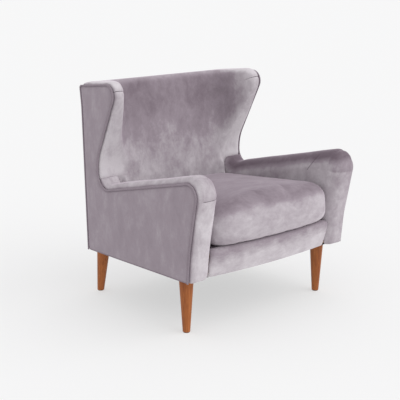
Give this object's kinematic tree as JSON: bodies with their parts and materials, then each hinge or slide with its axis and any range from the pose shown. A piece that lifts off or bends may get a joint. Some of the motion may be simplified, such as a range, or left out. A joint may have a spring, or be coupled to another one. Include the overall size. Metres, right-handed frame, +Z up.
{
  "type": "wingback armchair",
  "caption": "Upholstered armchair with short splayed wings, sloping padded arms, piped side panels, a loose bull-nose seat cushion and tapered round wooden legs.",
  "frame": {"origin": "on the floor, under the middle of the chair's box", "axes": "+Z up; the sitter faces -Y; +X is the sitter's left hand side"},
  "size_m": [0.8106, 0.742, 0.8628],
  "materials": {
    "velvet": "mauve velvet with a short mottled pile",
    "leg_wood": "warm brown stained wood, satin",
    "frame_wood": "planed beech, unfinished",
    "plywood": "birch plywood",
    "hardboard": "pressed hardboard",
    "steel": "zinc plated",
    "hessian": "woven hessian",
    "wadding": "needled felt",
    "black_cloth": "thin black bonded cloth",
    "webbing": "woven elastic webbing",
    "felt": "pressed felt",
    "foam": "open cell foam in a calico wrap",
    "zip_tape": "mauve zip tape",
    "zip_metal": "antique brass"
  },
  "bodies": {
    "chair": {"arm_base_rail_left": "frame_wood", "arm_base_rail_right": "frame_wood", "arm_pad_left": "velvet", "arm_pad_right": "velvet", "arm_post_left": "frame_wood", "arm_post_right": "frame_wood", "arm_rail_left": "frame_wood", "arm_rail_right": "frame_wood", "back_crest_rail": "frame_wood", "back_lumbar_rail": "frame_wood", "back_post_left": "frame_wood", "back_post_right": "frame_wood", "back_webbing": "webbing", "corner_block_front_left": "frame_wood", "corner_block_front_right": "frame_wood", "corner_block_rear_left": "frame_wood", "corner_block_rear_right": "frame_wood", "deck_insulator": "hessian", "deck_pad": "wadding", "dust_cover": "black_cloth", "felt_glides": "felt", "front_rail_pad": "velvet", "hanger_bolts": "steel", "inside_arm_board_left": "hardboard", "inside_arm_board_right": "hardboard", "inside_back_pad": "velvet", "leg_front_left": "leg_wood", "leg_front_right": "leg_wood", "leg_rear_left": "leg_wood", "leg_rear_right": "leg_wood", "outside_back_panel": "velvet", "seat_front_rail": "frame_wood", "seat_rear_rail": "frame_wood", "seat_side_rail_left": "frame_wood", "seat_side_rail_right": "frame_wood", "side_panel_left": "velvet", "side_panel_right": "velvet", "side_piping_left": "velvet", "side_piping_right": "velvet", "sinuous_springs": "steel", "spring_clips": "steel", "threaded_inserts": "steel", "wing_frame_left": "plywood", "wing_frame_right": "plywood", "wing_pad_left": "velvet", "wing_pad_right": "velvet"},
    "seat_cushion": {"seat_cushion_cover": "velvet", "seat_cushion_core": "foam", "cushion_zip": "zip_tape"},
    "zip_slider": {"zip_slider": "zip_metal"}
  },
  "joints": [
    {"name": "cushion_lift", "type": "slide", "parent": "chair", "child": "seat_cushion", "axis": [0, 0, 1], "range_m": [0, 0.3]},
    {"name": "zip_slide", "type": "slide", "parent": "seat_cushion", "child": "zip_slider", "axis": [-1, 0, 0], "range_m": [0, 0.37]}
  ]
}
